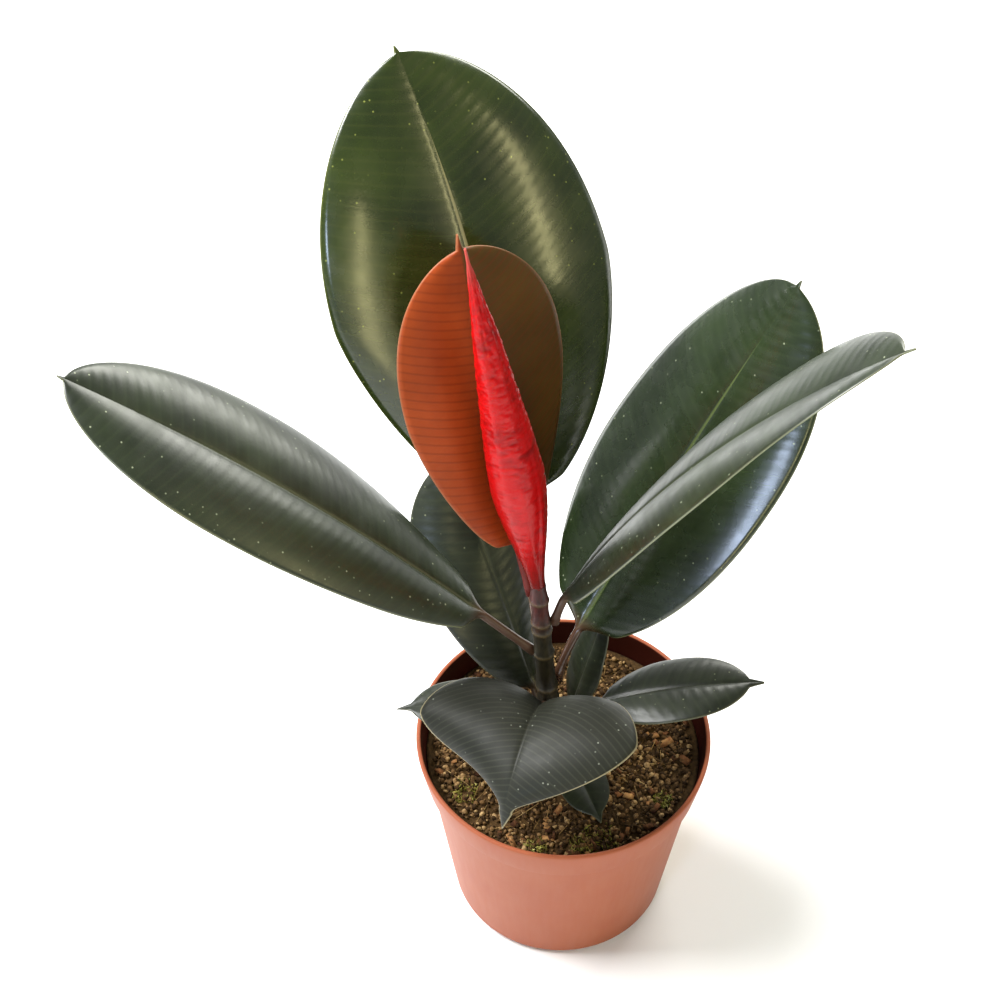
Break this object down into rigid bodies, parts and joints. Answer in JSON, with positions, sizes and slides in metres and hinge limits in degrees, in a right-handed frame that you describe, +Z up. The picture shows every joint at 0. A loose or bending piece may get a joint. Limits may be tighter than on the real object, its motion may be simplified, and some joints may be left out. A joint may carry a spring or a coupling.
{
  "type": "potted rubber plant",
  "caption": "Young rubber plant with broad leaves, an upright red bud sheath and a copper new leaf, in a tapered nursery pot filled with soil.",
  "frame": {"origin": "centre of the pot's underside, on the surface it stands on", "axes": "+Z up; the front, seen in the usual view, faces -Y; +X to the right of that view"},
  "size_m": [0.2902, 0.177, 0.3582],
  "materials": {
    "pot": "smooth moulded nursery pot, terracotta coloured",
    "soil": "loose peat and bark",
    "stem": "smooth green-brown young bark",
    "sheath": "satin red bud scale",
    "leaf": "waxy, glossy above",
    "young_leaf": "waxy, glossy above"
  },
  "bodies": {
    "root": {"pot": "pot", "potting_soil": "soil", "stem": "stem", "bud_sheath": "sheath", "leaf_back_large": "leaf", "leaf_young_copper": "young_leaf", "leaf_left_long": "leaf", "leaf_right_edge_on": "leaf", "leaf_right_broad": "leaf", "leaf_low_right": "leaf", "leaf_low_back_left": "leaf", "leaf_low_left": "leaf", "leaf_low_front": "leaf", "leaf_low_back_right": "leaf", "leaf_low_front_small": "leaf"}
  },
  "joints": []
}
